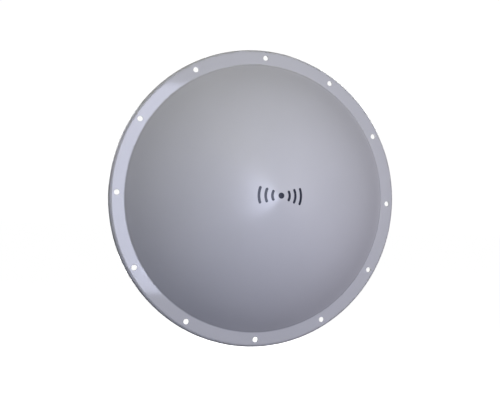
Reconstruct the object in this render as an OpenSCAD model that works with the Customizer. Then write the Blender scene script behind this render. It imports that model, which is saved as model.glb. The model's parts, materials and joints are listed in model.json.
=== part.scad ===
// Dish antenna under a moulded radome, on a mount that clamps to a mast.
// The origin is on the mast's axis, midway between the two mast clamps. +Z is up, the antenna
// looks along -Y, and every size is in millimetres.

/* [Radome] */
// Outside diameter over the skirt
radome_d = 650; // [645:5:660]
// Height of the dome above the front of its flange
dome_h = 139; // [125:1:150]
// Wall thickness of the moulded shell
radome_t = 3; // [2.5:0.5:3.5]
// Width of the flange, from the dome's foot to the outside
flange_w = 32.5; // [31:0.5:34]
// Depth of the skirt behind the front of the flange
skirt_h = 14; // [13:1:16]
// Slope of the dome where it meets its rounded tip, in degrees
tip_slope = 9; // [6:1:12]

/* [Rim holes] */
// Number of holes around the flange
rim_holes = 12; // [6:2:24]
// Diameter of the holes in the radome
rim_hole_d = 11; // [9:0.5:12]
// Distance of the holes' circle from the outside
rim_hole_inset = 17; // [16:0.5:18]

/* [Reflector] */
// Focal length of the paraboloid
focal = 188; // [180:1:200]
// Sheet thickness
dish_t = 2; // [1.5:0.5:2]
// Radius of the flat pressed into the middle
hub_flat_r = 80; // [78:1:84]

/* [Mount] */
// Outside diameter of the mast
mast_d = 60.3; // [57:0.1:60.3]
// Elevation travel either side of level, in degrees
tilt_range = 20; // [10:1:20]
// Azimuth travel either side of straight ahead, in degrees
swivel_range = 12; // [6:1:12]

/* [Feed] */
// Outside diameter of the waveguide tube
feed_d = 32; // [30:1:32]
// How far the reflector plate stands in front of the rim
feed_reach = 90; // [80:1:95]

/* [Hidden] */

fine = 180;     // facets of the big round parts
smooth = 48;    // facets of shafts, bores and rings
nil = 0.01;     // overlap that makes touching solids one
slack = 0.1;    // radial gap between a shaft and its hole
plate_gap = 0.3; // gap between plates that turn against each other

// Radome, in the dish's own frame: z is 0 on the front of the reflector's rim, forward is +z.
gasket_t = 2;
flange_z = gasket_t + radome_t;
radome_r = radome_d / 2;
dome_r = radome_r - flange_w;
hole_ring_r = radome_r - rim_hole_inset;
corner_r = 8;
foot_r = 4;
tip_r = 60;
foot_slope = 2 * atan(dome_h / dome_r) - tip_slope;
dome_arc_r = dome_r / (sin(foot_slope) - sin(tip_slope));
dome_c = [-dome_arc_r * sin(tip_slope), flange_z + dome_h - dome_arc_r * cos(tip_slope)];
tip_c = [0, dome_c[1] + sqrt(pow(dome_arc_r - tip_r, 2) - pow(dome_c[0], 2))];
tip_a = atan2(tip_c[1] - dome_c[1], -dome_c[0]);
foot_rise = flange_z + foot_r - dome_c[1];
foot_c = [dome_c[0] + sqrt(pow(dome_arc_r + foot_r, 2) - pow(foot_rise, 2)), flange_z + foot_r];
foot_a = atan2(foot_rise, foot_c[0] - dome_c[0]);

// Reflector, in the same frame.
rim_r = radome_r - radome_t - 2;
lip_h = 8;
lip_r = 4;
bowl_r = dome_r - 2.5;
rim_blend_r = 5;
rim_hole_back_d = rim_hole_d + 3;
bowl_edge_a = atan(bowl_r / (2 * focal));
blend_c = [bowl_r + rim_blend_r * sin(bowl_edge_a), -rim_blend_r];
bowl_edge_z = -rim_blend_r * (1 - cos(bowl_edge_a));
hub_z = bowl_z(hub_flat_r);
feed_hole_r = 24.5;

// Planes along Y, from the mast forward.
cradle_back_y = -176;
plate_t = 4;
cradle_front_y = cradle_back_y - plate_t;
hub_ring_t = 4;
hub_back_y = cradle_front_y - hub_ring_t;
rim_y = hub_back_y - dish_t + hub_z;
pivot_y = -130;
yoke_back_y = -85;
swivel_y = -64;
lug_y = -62;
bracket_back_y = -42;
bracket_front_y = bracket_back_y - plate_t;

// Half widths and heights of the folded plates.
yoke_x = 85;
spacer_t = 1;
cradle_x = yoke_x + spacer_t + plate_t;
cheek_h = 72;
yoke_h = cheek_h + plate_gap;
ear_h = yoke_h - plate_t - plate_gap;
tilt_slot_r = 55;
swivel_slot_r = 36;
hub_bolt_r = 60;
jack_drop = 95;
jack_x = 68;

// Plates' free corners are cut back by this much, and their folds have this outer radius.
corner_cut = 10;
fold_r = 6;
relief_w = 1.5; // notch beside a fold

// Hardware sizes: shank radius, width across flats and head height.
m4 = [2, 7, 2.8];
m5 = [2.5, 8, 3.5];
m6 = [3, 10, 4];
m8 = [4, 13, 5.3];
m10 = [5, 16, 6.4];
washer_t = 1.6;

feed_r = feed_d / 2;
bore_r = feed_r - 3;
feed_back_y = -150;         // rear end of the tube
transducer_back_y = -108;   // rear face of the transducer's body
transducer_w = 44;
transducer_bolt = 16;       // half the spacing of the rear cover's screws
transducer_cap_t = 4;
connector_y = [-137.5, -121];
connector_a = [-45, -135];
collar_screw_r = 32.5;

function arc(c, r, a0, a1, n, from = 0) =
    [for (i = [from:n]) let (a = a0 + (a1 - a0) * i / n) c + r * [cos(a), sin(a)]];
function reversed(v) = [for (i = [len(v) - 1:-1:0]) v[i]];
function bowl_z(r) = bowl_edge_z - (pow(bowl_r, 2) - pow(r, 2)) / (4 * focal);

// A folded plate seen along its folds: a U of half width w, from its closed side to its open one.
function folded(w, closed, open, t) = concat(
    [[-w, open]],
    arc([fold_r - w, closed + fold_r], fold_r, 180, 270, 5),
    arc([w - fold_r, closed + fold_r], fold_r, 270, 360, 5),
    [[w, open], [w - t, open]],
    arc([w - fold_r, closed + fold_r], fold_r - t, 360, 270, 5),
    arc([fold_r - w, closed + fold_r], fold_r - t, 270, 180, 5),
    [[t - w, open]]
);

// The dome's outline from its tip to the flange, moved outwards by off.
function dome_line(off) = concat(
    [[0, tip_c[1] + tip_r + off]],
    arc(tip_c, tip_r + off, 90, tip_a, 4, 1),
    arc(dome_c, dome_arc_r + off, tip_a, foot_a, 40, 1),
    arc(foot_c, foot_r - off, foot_a + 180, 270, 5, 1)
);

// The bowl's outline from the hub flat to the rim, moved backwards by t along its normal.
function bowl_line(t) = concat(
    [for (i = [0:24])
        let (r = hub_flat_r + (bowl_r - hub_flat_r) * i / 24, a = atan(r / (2 * focal)))
        [r + t * sin(a), bowl_z(r) - t * cos(a)]],
    arc(blend_c, rim_blend_r - t, 90 + bowl_edge_a, 90, 4, 1)
);

// Placing -----------------------------------------------------------------------------------

// From the dish's own frame, with z forward, to the antenna's.
module on_dish() {
    translate([0, rim_y, 0]) rotate([90, 0, 0]) children();
}

// From a flat drawing whose x is Y and whose y is Z to a plate that starts at x.
module side_plate(x, t = plate_t) {
    translate([x, 0, 0]) rotate([90, 0, 90]) linear_extrude(t) children();
}

// z of the children points forward, along -Y.
module facing(y) {
    translate([0, y, 0]) rotate([90, 0, 0]) children();
}

// z of the children points outwards from a side, s = 1 for +X and -1 for -X.
module sideways(s, x, y, z) {
    translate([s * x, y, z]) rotate([0, s * 90, 0]) children();
}

module ring_of(n, r, start = 0) {
    for (i = [0:n - 1]) rotate(start + i * 360 / n) translate([r, 0, 0]) children();
}

module above_and_below() {
    for (s = [-1, 1]) mirror([0, 0, s < 0 ? 1 : 0]) children();
}

// Hardware ----------------------------------------------------------------------------------

module tube(r, bore, h) {
    difference() {
        cylinder(h = h, r = r, $fn = smooth);
        translate([0, 0, -1]) cylinder(h = h + 2, r = bore, $fn = smooth);
    }
}

// A hexagon with its top corners turned off.
module hexagon(flats, h) {
    intersection() {
        cylinder(h = h, r = flats / 2 / cos(30), $fn = 6);
        cylinder(h = h, r1 = flats / 2 + 1.6 * h, r2 = flats / 2 - 0.3, $fn = smooth);
    }
}

// Head above z = 0, shank of length l below it, with a chamfered end.
module hex_bolt(m, l) {
    hexagon(m[1], m[2]);
    translate([0, 0, -l + 1]) cylinder(h = l - 1 + nil, r = m[0], $fn = smooth);
    translate([0, 0, -l]) cylinder(h = 1 + nil, r1 = m[0] - 0.8, r2 = m[0], $fn = smooth);
}

module pan_screw(m, l) {
    difference() {
        union() {
            cylinder(h = m[2] * 0.6, r = m[1] / 2, $fn = smooth);
            translate([0, 0, m[2] * 0.6 - nil])
                cylinder(h = m[2] * 0.4, r1 = m[1] / 2, r2 = m[1] / 2 - 1, $fn = smooth);
        }
        translate([0, 0, m[2] * 0.4]) cylinder(h = m[2], r = m[0] * 0.75, $fn = 6);
    }
    translate([0, 0, -l]) cylinder(h = l + nil, r = m[0], $fn = smooth);
}

module hex_nut(m, h) {
    difference() {
        hexagon(m[1], h);
        translate([0, 0, -1]) cylinder(h = h + 2, r = m[0] + slack, $fn = smooth);
    }
}

// A nut on a washer, as one group of two solids.
module nut_on_washer(m, h) {
    tube(m[1] * 0.65, m[0] + slack, washer_t);
    translate([0, 0, washer_t]) hex_nut(m, h);
}

// A slot along an arc about the origin, between two angles, with round ends.
module arc_slot(r, half_w, a0, a1) {
    far = 2 * r;
    mid = (a0 + a1) / 2;
    intersection() {
        difference() {
            circle(r = r + half_w, $fn = smooth * 2);
            circle(r = r - half_w, $fn = smooth * 2);
        }
        polygon([[0, 0], far * [cos(a0), sin(a0)], far * [cos(mid), sin(mid)], far * [cos(a1), sin(a1)]]);
    }
    for (a = [a0, a1]) translate(r * [cos(a), sin(a)]) circle(r = half_w, $fn = smooth);
}

// Radome ------------------------------------------------------------------------------------

module radome_shell() {
    corner_c = [radome_r - corner_r, flange_z - corner_r];
    skirt_z = flange_z - skirt_h;
    outline = concat(
        dome_line(0),
        arc(corner_c, corner_r, 90, 0, 8),
        [[radome_r, skirt_z], [radome_r - radome_t, skirt_z]],
        arc(corner_c, corner_r - radome_t, 0, 90, 8),
        reversed(dome_line(-radome_t))
    );
    color([0.69, 0.69, 0.73])
        on_dish()
            difference() {
                rotate_extrude($fn = fine) polygon(outline);
                ring_of(rim_holes, hole_ring_r, 90)
                    cylinder(h = flange_z + 1, r = rim_hole_d / 2, $fn = smooth);
            }
}

// A dot between pairs of waves, cut from thin film that follows the dome.
module emblem() {
    film_t = 0.3;
    wave_w = 2.6;
    color([0.17, 0.18, 0.23])
        on_dish()
            intersection() {
                rotate_extrude($fn = fine)
                    polygon(concat(
                        [for (p = dome_line(film_t)) if (p[0] < 70) p],
                        reversed([for (p = dome_line(0)) if (p[0] < 70) p])
                    ));
                translate([0, 4, 0])
                    linear_extrude(flange_z + dome_h + 5) {
                        circle(r = 6, $fn = smooth);
                        for (wave = [[18, 27], [31, 23], [44, 19.5]], side = [0, 180])
                            arc_slot(wave[0], wave_w, side - wave[1], side + wave[1]);
                    }
            }
}

module rim_gasket() {
    color([0.1, 0.1, 0.1])
        on_dish()
            difference() {
                cylinder(h = gasket_t, r = rim_r - lip_r, $fn = fine);
                translate([0, 0, -1]) cylinder(h = gasket_t + 2, r = blend_c[0], $fn = fine);
                ring_of(rim_holes, hole_ring_r, 90)
                    translate([0, 0, -1]) cylinder(h = gasket_t + 2, r = rim_hole_back_d / 2, $fn = smooth);
            }
}

// Reflector and hub -------------------------------------------------------------------------

module reflector() {
    lip_c = [rim_r - lip_r, -lip_r];
    outline = concat(
        [[feed_hole_r, hub_z]],
        bowl_line(0),
        arc(lip_c, lip_r, 90, 0, 6),
        [[rim_r, -lip_h], [rim_r - dish_t, -lip_h]],
        arc(lip_c, lip_r - dish_t, 0, 90, 6),
        reversed(bowl_line(dish_t)),
        [[hub_flat_r, hub_z - dish_t], [feed_hole_r, hub_z - dish_t]]
    );
    color([0.8, 0.8, 0.8])
        on_dish()
            difference() {
                rotate_extrude($fn = fine) polygon(outline);
                ring_of(rim_holes, hole_ring_r, 90)
                    translate([0, 0, -dish_t - 1])
                        cylinder(h = dish_t + 2, r = rim_hole_back_d / 2, $fn = smooth);
                ring_of(4, hub_bolt_r, 45)
                    translate([0, 0, hub_z - dish_t - 1]) cylinder(h = dish_t + 2, r = 4.5, $fn = smooth);
            }
}

module hub_ring() {
    color([0.6, 0.61, 0.62])
        facing(cradle_front_y)
            difference() {
                cylinder(h = hub_ring_t, r = hub_flat_r - 2, $fn = fine);
                translate([0, 0, -1]) cylinder(h = hub_ring_t + 2, r = feed_hole_r, $fn = smooth);
                ring_of(4, hub_bolt_r, 45)
                    translate([0, 0, -1]) cylinder(h = hub_ring_t + 2, r = 4.5, $fn = smooth);
            }
}

// Round-headed bolts, their heads inside the bowl.
module hub_bolts() {
    head_h = 4;
    head_r = 9;
    grip = dish_t + hub_ring_t + plate_t + 13;
    color([0.7, 0.7, 0.72])
        facing(hub_back_y - dish_t)
            ring_of(4, hub_bolt_r, 45) {
                rotate_extrude($fn = smooth)
                    polygon([[0, 0], [head_r, 0], [head_r - 0.5, 1.4], [head_r - 2.5, 2.9],
                             [head_r - 5.5, 3.8], [0, head_h]]);
                translate([0, 0, -grip]) cylinder(h = grip + nil, r = m8[0], $fn = smooth);
            }
}

module hub_nuts() {
    color([0.7, 0.7, 0.72])
        translate([0, cradle_back_y, 0]) rotate([-90, 0, 0])
            ring_of(4, hub_bolt_r, 45) nut_on_washer(m8, 6.5);
}

// Cradle: the folded plate that carries the dish and tilts on the yoke -----------------------

module cradle_side() {
    rear_y = -94;
    polygon([[cradle_front_y, -cheek_h], [rear_y - corner_cut, -cheek_h],
             [rear_y, -cheek_h + corner_cut], [rear_y, cheek_h - corner_cut],
             [rear_y - corner_cut, cheek_h], [cradle_front_y, cheek_h]]);
}

module cradle_lug() {
    lug_r = 13;
    translate([pivot_y - lug_r, -jack_drop]) square([2 * lug_r, jack_drop]);
    translate([pivot_y, -jack_drop]) circle(r = lug_r, $fn = smooth);
}

module cradle_side_holes() {
    circle(r = m10[0] + slack, $fn = smooth);
    for (up = [90, -90])
        arc_slot(tilt_slot_r, m8[0] + 0.5, up - tilt_range - 1, up + tilt_range + 1);
}

// Elevation marks cut into the left cheek, every 5 degrees, with longer ones every 10.
module tilt_marks() {
    depth = 0.4;
    mark_w = 0.6;
    mark_r = 65.5;
    for (i = [-4:4]) {
        mark_l = i % 2 == 0 ? 5.5 : 3.5;
        translate([-cradle_x, pivot_y, 0]) rotate([i * 5, 0, 0])
            translate([-1, -mark_w / 2, mark_r]) cube([1 + depth, mark_w, mark_l]);
    }
}

module cradle() {
    deep = jack_drop + 20;
    color([0.62, 0.63, 0.64])
        difference() {
            intersection() {
                translate([0, 0, -deep]) linear_extrude(2 * deep)
                    polygon(folded(cradle_x, cradle_front_y, -80, plate_t));
                union() {
                    side_plate(-cradle_x - 1, 2 * cradle_x + 2) cradle_side();
                    side_plate(cradle_x - plate_t - 1, plate_t + 2) cradle_lug();
                }
            }
            side_plate(-cradle_x - 1, 2 * cradle_x + 2) translate([pivot_y, 0]) cradle_side_holes();
            side_plate(cradle_x - plate_t - 1, plate_t + 2)
                translate([pivot_y, -jack_drop]) circle(r = m10[0] + slack, $fn = smooth);
            facing(cradle_back_y + 1) {
                cylinder(h = plate_t + 2, r = feed_hole_r, $fn = smooth);
                ring_of(4, hub_bolt_r, 45) cylinder(h = plate_t + 2, r = 4.5, $fn = smooth);
                ring_of(4, collar_screw_r, 45) cylinder(h = plate_t + 2, r = m5[0] + slack, $fn = smooth);
            }
            tilt_marks();
        }
}

// Feed collar: holds the tube in the hub, with a clamp ring that locks its roll --------------

collar_flange_t = 5;
collar_y = cradle_back_y + collar_flange_t;
collar_wall = 4;
clamp_w = 10;
clamp_y = collar_y + 11;         // rear face of the clamp ring
clamp_screw_z = feed_r + 16;

module feed_collar() {
    nose = 8;
    seal_w = 4;
    sleeve_l = plate_t + hub_ring_t + dish_t + nose;
    tail = 12;
    color([0.75, 0.76, 0.77])
        facing(collar_y)
            difference() {
                union() {
                    cylinder(h = collar_flange_t, r = 38, $fn = fine);
                    cylinder(h = collar_flange_t + sleeve_l, r = feed_hole_r - 0.3, $fn = smooth);
                    translate([0, 0, -tail]) cylinder(h = tail + nil, r = feed_r + collar_wall, $fn = smooth);
                }
                translate([0, 0, -tail - 1])
                    cylinder(h = tail + sleeve_l + 10, r = feed_r + slack, $fn = smooth);
                translate([0, 0, collar_flange_t + sleeve_l - seal_w])
                    cylinder(h = seal_w + 1, r = feed_r + collar_wall, $fn = smooth);
                ring_of(4, collar_screw_r, 45) translate([0, 0, -1])
                    cylinder(h = collar_flange_t + 2, r = m5[0] + slack, $fn = smooth);
                translate([-1, 0, -tail - 1]) cube([2, 40, tail]);
            }
}

module collar_screws() {
    color([0.7, 0.7, 0.72])
        translate([0, collar_y, 0]) rotate([-90, 0, 0])
            ring_of(4, collar_screw_r, 45) pan_screw(m5, collar_flange_t + plate_t);
}

module feed_seal() {
    cord_r = 1.8;
    color([0.12, 0.12, 0.12])
        facing(hub_back_y - dish_t - 6)
            rotate_extrude($fn = 96)
                translate([feed_r + slack + cord_r, 0]) circle(r = cord_r, $fn = 24);
}

module feed_clamp() {
    color([0.66, 0.67, 0.68])
        facing(clamp_y)
            difference() {
                union() {
                    cylinder(h = clamp_w, r = feed_r + 11, $fn = smooth);
                    translate([-10, feed_r + 6, 0]) cube([20, 17, clamp_w]);
                }
                translate([0, 0, -1])
                    cylinder(h = clamp_w + 2, r = feed_r + collar_wall + slack, $fn = smooth);
                translate([-1.5, feed_r, -1]) cube([3, 40, clamp_w + 2]);
                translate([-20, clamp_screw_z, clamp_w / 2]) rotate([0, 90, 0])
                    cylinder(h = 40, r = m5[0] + slack, $fn = smooth);
            }
}

module feed_clamp_screw() {
    color([0.7, 0.7, 0.72])
        translate([10, clamp_y - clamp_w / 2, clamp_screw_z]) rotate([0, 90, 0]) {
            hex_bolt(m5, 26);
            translate([0, 0, -20]) rotate([180, 0, 0]) hex_nut(m5, 4);
        }
}

// Feed --------------------------------------------------------------------------------------

splash_r = 36;
splash_t = 6;
cone_back = feed_reach - 38;
plate_back = feed_reach - splash_t;

module feed_tube() {
    tube_front_y = rim_y - cone_back - 4;
    color([0.85, 0.85, 0.86])
        facing(feed_back_y)
            tube(feed_r, bore_r, feed_back_y - tube_front_y);
}

// Moulded plastic that plugs the tube and carries the splash plate.
module feed_cone() {
    plug_r = bore_r - 0.05;
    color([0.93, 0.93, 0.91])
        on_dish()
            difference() {
                rotate_extrude($fn = 96)
                    polygon([[0, cone_back - 14], [bore_r - 4, cone_back - 10], [plug_r, cone_back],
                             [plug_r, cone_back + 4], [feed_r, cone_back + 4],
                             [feed_r + 3, cone_back + 14], [splash_r - 3, plate_back], [0, plate_back]]);
                translate([0, 0, plate_back - 9]) cylinder(h = 10, r = m4[0] + slack, $fn = smooth);
            }
}

module splash_plate() {
    groove = 2.5;
    color([0.83, 0.83, 0.84])
        on_dish()
            difference() {
                translate([0, 0, plate_back]) cylinder(h = splash_t, r = splash_r, $fn = 96);
                for (r = [20, 27]) translate([0, 0, feed_reach - groove])
                    tube(r + 3, r, groove + 1);
                translate([0, 0, plate_back - 1]) cylinder(h = splash_t + 2, r = m4[0] + slack, $fn = smooth);
            }
}

module splash_plate_screw() {
    color([0.7, 0.7, 0.72])
        on_dish()
            translate([0, 0, feed_reach]) pan_screw(m4, splash_t + 8);
}

// Polarisation transducer: a square block behind the hub, set on its corner.
module transducer_square(h) {
    w = transducer_w;
    rotate(45) translate([-w / 2, -w / 2, 0]) cube([w, w, h]);
}

module transducer_corners() {
    rotate(45) for (x = [-transducer_bolt, transducer_bolt], y = [-transducer_bolt, transducer_bolt])
        translate([x, y, 0]) children();
}

module transducer_body() {
    flange_t = 6;
    flange_r = 28;
    body_l = transducer_back_y - feed_back_y;
    color([0.78, 0.79, 0.8])
        difference() {
            union() {
                facing(transducer_back_y) transducer_square(body_l + nil);
                facing(feed_back_y) cylinder(h = flange_t, r = flange_r, $fn = smooth);
            }
            facing(feed_back_y) cylinder(h = flange_t + 1, r = feed_r + 0.05, $fn = smooth);
            facing(transducer_back_y - 4) cylinder(h = body_l, r = bore_r, $fn = smooth);
            facing(transducer_back_y) transducer_corners() translate([0, 0, -1])
                cylinder(h = 9, r = m4[0] + slack, $fn = smooth);
            for (i = [0, 1])
                at_connector(i) translate([0, 0, -12]) cylinder(h = 20, r = 1.8, $fn = smooth);
        }
}

module transducer_cap() {
    color([0.74, 0.75, 0.76])
        facing(transducer_back_y + transducer_cap_t)
            difference() {
                transducer_square(transducer_cap_t);
                transducer_corners() translate([0, 0, -1])
                    cylinder(h = transducer_cap_t + 2, r = m4[0] + slack, $fn = smooth);
            }
}

module transducer_screws() {
    color([0.7, 0.7, 0.72])
        translate([0, transducer_back_y + transducer_cap_t, 0]) rotate([-90, 0, 0])
            transducer_corners() pan_screw(m4, transducer_cap_t + 6);
}

// z points outwards from the face of the transducer that carries socket i.
module at_connector(i) {
    translate([0, connector_y[i], 0]) rotate([0, 90 - connector_a[i], 0])
        translate([0, 0, transducer_w / 2]) children();
}

barrel_r = 7.9;
barrel_l = 16;

// A coaxial socket on a square flange, with its probe reaching into the body.
module connector(i) {
    flange_w = 18;
    flange_t = 3;
    socket_l = 10;
    color([0.83, 0.79, 0.66])
        at_connector(i) {
            difference() {
                union() {
                    translate([-flange_w / 2, -flange_w / 2, 0]) cube([flange_w, flange_w, flange_t]);
                    cylinder(h = barrel_l, r = barrel_r, $fn = smooth);
                }
                translate([0, 0, barrel_l - socket_l]) cylinder(h = socket_l + 1, r = 6, $fn = smooth);
            }
            translate([0, 0, barrel_l - socket_l - nil]) cylinder(h = 7, r = 1.6, $fn = smooth);
            translate([0, 0, -8]) cylinder(h = 8 + nil, r = 1.5, $fn = smooth);
        }
}

module connector_a() connector(0);
module connector_b() connector(1);

module dust_cap(i) {
    mouth = 3.2;    // above the socket's flange
    lid_t = 2.8;
    color([0.12, 0.12, 0.13])
        at_connector(i)
            difference() {
                translate([0, 0, mouth]) {
                    cylinder(h = barrel_l - mouth + lid_t, r = barrel_r + 2.1, $fn = smooth);
                    cylinder(h = 2.5, r = barrel_r + 3.3, $fn = smooth);
                }
                cylinder(h = barrel_l + 0.2, r = barrel_r + slack, $fn = smooth);
            }
}

module dust_cap_a() dust_cap(0);
module dust_cap_b() dust_cap(1);

// Yoke: swivels on the mast bracket and carries the cradle -----------------------------------

tab_w = 104;

module yoke_tab_outline() {
    tip_y = swivel_y + 16;
    cut = 8;
    root_y = yoke_back_y - plate_t;
    difference() {
        polygon([[-tab_w / 2, root_y], [tab_w / 2, root_y], [tab_w / 2, tip_y - cut],
                 [tab_w / 2 - cut, tip_y], [cut - tab_w / 2, tip_y], [-tab_w / 2, tip_y - cut]]);
        translate([0, swivel_y]) {
            circle(r = m10[0] + slack, $fn = smooth);
            for (side = [0, 180])
                arc_slot(swivel_slot_r, m8[0] + 0.5, side - swivel_range - 1, side + swivel_range + 1);
        }
    }
}

// The middle of the back plate with the two tabs folded back from it.
module yoke_tabs() {
    intersection() {
        side_plate(-tab_w / 2, tab_w)
            rotate(-90) polygon(folded(yoke_h, yoke_back_y - plate_t, -40, plate_t));
        translate([0, 0, -yoke_h - 1]) linear_extrude(2 * yoke_h + 2) yoke_tab_outline();
    }
}

module yoke_side() {
    front_y = -146;
    polygon([[yoke_back_y, -yoke_h], [front_y + corner_cut, -yoke_h],
             [front_y, -yoke_h + corner_cut], [front_y, yoke_h - corner_cut],
             [front_y + corner_cut, yoke_h], [yoke_back_y, yoke_h]]);
}

module yoke_side_holes() {
    circle(r = m10[0] + slack, $fn = smooth);
    for (z = [-tilt_slot_r, tilt_slot_r])
        translate([0, z]) circle(r = m8[0] + slack, $fn = smooth);
}

// Arm and slotted lug that the elevation rod passes through. The slot is as tall as the rod's
// rise at full tilt needs.
module jack_lug() {
    slot_r = m10[0] + 0.75;
    slot_low = jack_drop + 2;
    slot_high = jack_drop * cos(tilt_range) - 2.3;
    lug_x = jack_x - 12;
    lug_h = 32;
    low_z = -jack_drop - 15;
    arm_y = yoke_back_y + 3;
    lug_front_y = lug_y + plate_t;
    side_plate(yoke_x - plate_t)
        polygon([[yoke_back_y - plate_t, -50], [yoke_back_y - plate_t, -cheek_h],
                 [arm_y, -cheek_h - corner_cut], [arm_y, low_z], [lug_front_y, low_z],
                 [lug_front_y, -50 - corner_cut], [lug_front_y - corner_cut - 4, -50]]);
    difference() {
        translate([lug_x, lug_y, low_z]) cube([yoke_x - lug_x, plate_t, lug_h]);
        translate([jack_x, lug_y - 1, 0]) rotate([-90, 0, 0]) {
            for (drop = [slot_low, slot_high])
                translate([0, drop, 0]) cylinder(h = plate_t + 2, r = slot_r, $fn = smooth);
            translate([-slot_r, slot_high, 0]) cube([2 * slot_r, slot_low - slot_high, plate_t + 2]);
        }
    }
}

module yoke() {
    window = [56, 60];
    fold_z = yoke_h - fold_r;
    notch_w = tab_w + 2 * relief_w;
    color([0.62, 0.63, 0.64])
        union() {
            difference() {
                intersection() {
                    translate([0, 0, -yoke_h]) linear_extrude(2 * yoke_h)
                        mirror([0, 1]) polygon(folded(yoke_x, -yoke_back_y, 150, plate_t));
                    side_plate(-yoke_x - 1, 2 * yoke_x + 2) yoke_side();
                }
                translate([-window[0] / 2, yoke_back_y - plate_t - 1, -window[1] / 2])
                    cube([window[0], plate_t + 2, window[1]]);
                above_and_below() translate([-notch_w / 2, yoke_back_y - plate_t - 1, fold_z])
                    cube([notch_w, plate_t + 2, fold_r + 1]);
                side_plate(-yoke_x - 1, 2 * yoke_x + 2) translate([pivot_y, 0]) yoke_side_holes();
            }
            difference() {
                yoke_tabs();
                translate([-tab_w, yoke_back_y - plate_t - 1, nil - fold_z])
                    cube([2 * tab_w, plate_t + 2, 2 * (fold_z - nil)]);
            }
            jack_lug();
        }
}

module tilt_pivot_bolts() {
    color([0.7, 0.7, 0.72])
        for (s = [-1, 1]) sideways(s, cradle_x + plate_gap + washer_t, pivot_y, 0) {
            hex_bolt(m10, 22);
            translate([0, 0, -washer_t]) tube(10, m10[0], washer_t);
        }
}

module tilt_pivot_nuts() {
    color([0.7, 0.7, 0.72])
        for (s = [-1, 1]) sideways(-s, plate_t - yoke_x, pivot_y, 0) hex_nut(m10, 7.5);
}

// Plastic rings that keep the cheeks apart.
module tilt_spacers() {
    color([0.92, 0.92, 0.9])
        for (s = [-1, 1]) sideways(s, yoke_x, pivot_y, 0)
            tube(13, m10[0] + slack, spacer_t - 0.1);
}

module each_tilt_lock() {
    for (s = [-1, 1], z = [-tilt_slot_r, tilt_slot_r])
        sideways(s, cradle_x + slack, pivot_y, z) children();
}

module tilt_lock_bolts() {
    color([0.7, 0.7, 0.72])
        each_tilt_lock() translate([0, 0, washer_t]) hex_bolt(m8, 19);
}

module tilt_lock_nuts() {
    color([0.7, 0.7, 0.72])
        for (s = [-1, 1], z = [-tilt_slot_r, tilt_slot_r])
            sideways(-s, plate_t - yoke_x, pivot_y, z) hex_nut(m8, 6.5);
}

module tilt_lock_washers() {
    color([0.72, 0.72, 0.74])
        difference() {
            each_tilt_lock() tube(9, m8[0] + slack, washer_t);
            translate([-cradle_x - 5, pivot_y - 10, tilt_slot_r - 10]) cube([5, 20, 20]);
        }
}

// Pointed washer under the upper left bolt, reading against the marks.
module tilt_pointer() {
    color([0.8, 0.25, 0.15])
        sideways(-1, cradle_x + slack, pivot_y, tilt_slot_r)
            difference() {
                linear_extrude(washer_t) {
                    circle(r = 9, $fn = smooth);
                    polygon([[0, -6], [12.5, -0.5], [12.5, 0.5], [0, 6]]);
                }
                translate([0, 0, -1]) cylinder(h = washer_t + 2, r = m8[0] + slack, $fn = smooth);
            }
}

// Elevation jack: a rod on the cradle that the nuts hold at the yoke's lug --------------------

eye_w = 12;
jack_nut_x = jack_x - eye_w / 2 - 0.5;
jack_spacer_x = jack_x + eye_w / 2 + plate_gap;

module jack_pivot_bolt() {
    color([0.7, 0.7, 0.72])
        sideways(1, cradle_x, pivot_y, -jack_drop) hex_bolt(m10, cradle_x - jack_nut_x + 9);
}

module jack_pivot_nut() {
    color([0.7, 0.7, 0.72])
        sideways(-1, -jack_nut_x, pivot_y, -jack_drop) hex_nut(m10, 7.5);
}

module jack_spacer() {
    color([0.66, 0.67, 0.68])
        sideways(1, jack_spacer_x, pivot_y, -jack_drop)
            tube(7.5, m10[0] + slack, cradle_x - plate_t - jack_spacer_x);
}

module jack_rod() {
    eye_r = 11;
    rod_l = 118;
    color([0.7, 0.7, 0.72])
        difference() {
            union() {
                sideways(1, jack_x - eye_w / 2, pivot_y, -jack_drop)
                    cylinder(h = eye_w, r = eye_r, $fn = smooth);
                translate([jack_x, pivot_y, -jack_drop]) rotate([-90, 0, 0]) {
                    cylinder(h = rod_l - 1, r = m10[0], $fn = smooth);
                    translate([0, 0, rod_l - 1 - nil])
                        cylinder(h = 1, r1 = m10[0], r2 = m10[0] - 0.8, $fn = smooth);
                }
            }
            sideways(1, jack_x - eye_w, pivot_y, -jack_drop)
                cylinder(h = 2 * eye_w, r = m10[0] + slack, $fn = smooth);
        }
}

module jack_nuts() {
    gap = 0.8;
    color([0.7, 0.7, 0.72]) {
        translate([jack_x, lug_y - gap, -jack_drop]) rotate([90, 0, 0]) hex_nut(m10, 8);
        translate([jack_x, lug_y + plate_t + gap, -jack_drop]) rotate([-90, 0, 0]) hex_nut(m10, 8);
    }
}

// Mast bracket and clamps -------------------------------------------------------------------

clamp_z = 38;       // height of each clamp's middle above or below the origin
clamp_half_h = 18;
clamp_bolt_x = 45;
clamp_bolt_slack = 0.5;
clamp_x = 55;
bracket_x = 58;
clamp_gap = 5;      // half the gap between saddle and strap
strap_pad_t = 10;
strap_wall = 8;

ear_w = 92;

module bracket_outline() {
    tip_y = swivel_y - 16;
    shoulder_y = swivel_y - 8;
    difference() {
        polygon([[-ear_w / 2, bracket_back_y], [-ear_w / 2, shoulder_y], [-18, tip_y], [18, tip_y],
                 [ear_w / 2, shoulder_y], [ear_w / 2, bracket_back_y]]);
        translate([0, swivel_y]) {
            circle(r = m10[0] + slack, $fn = smooth);
            for (s = [-1, 1])
                translate([s * swivel_slot_r, 0]) circle(r = m8[0] + slack, $fn = smooth);
        }
    }
}

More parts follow.
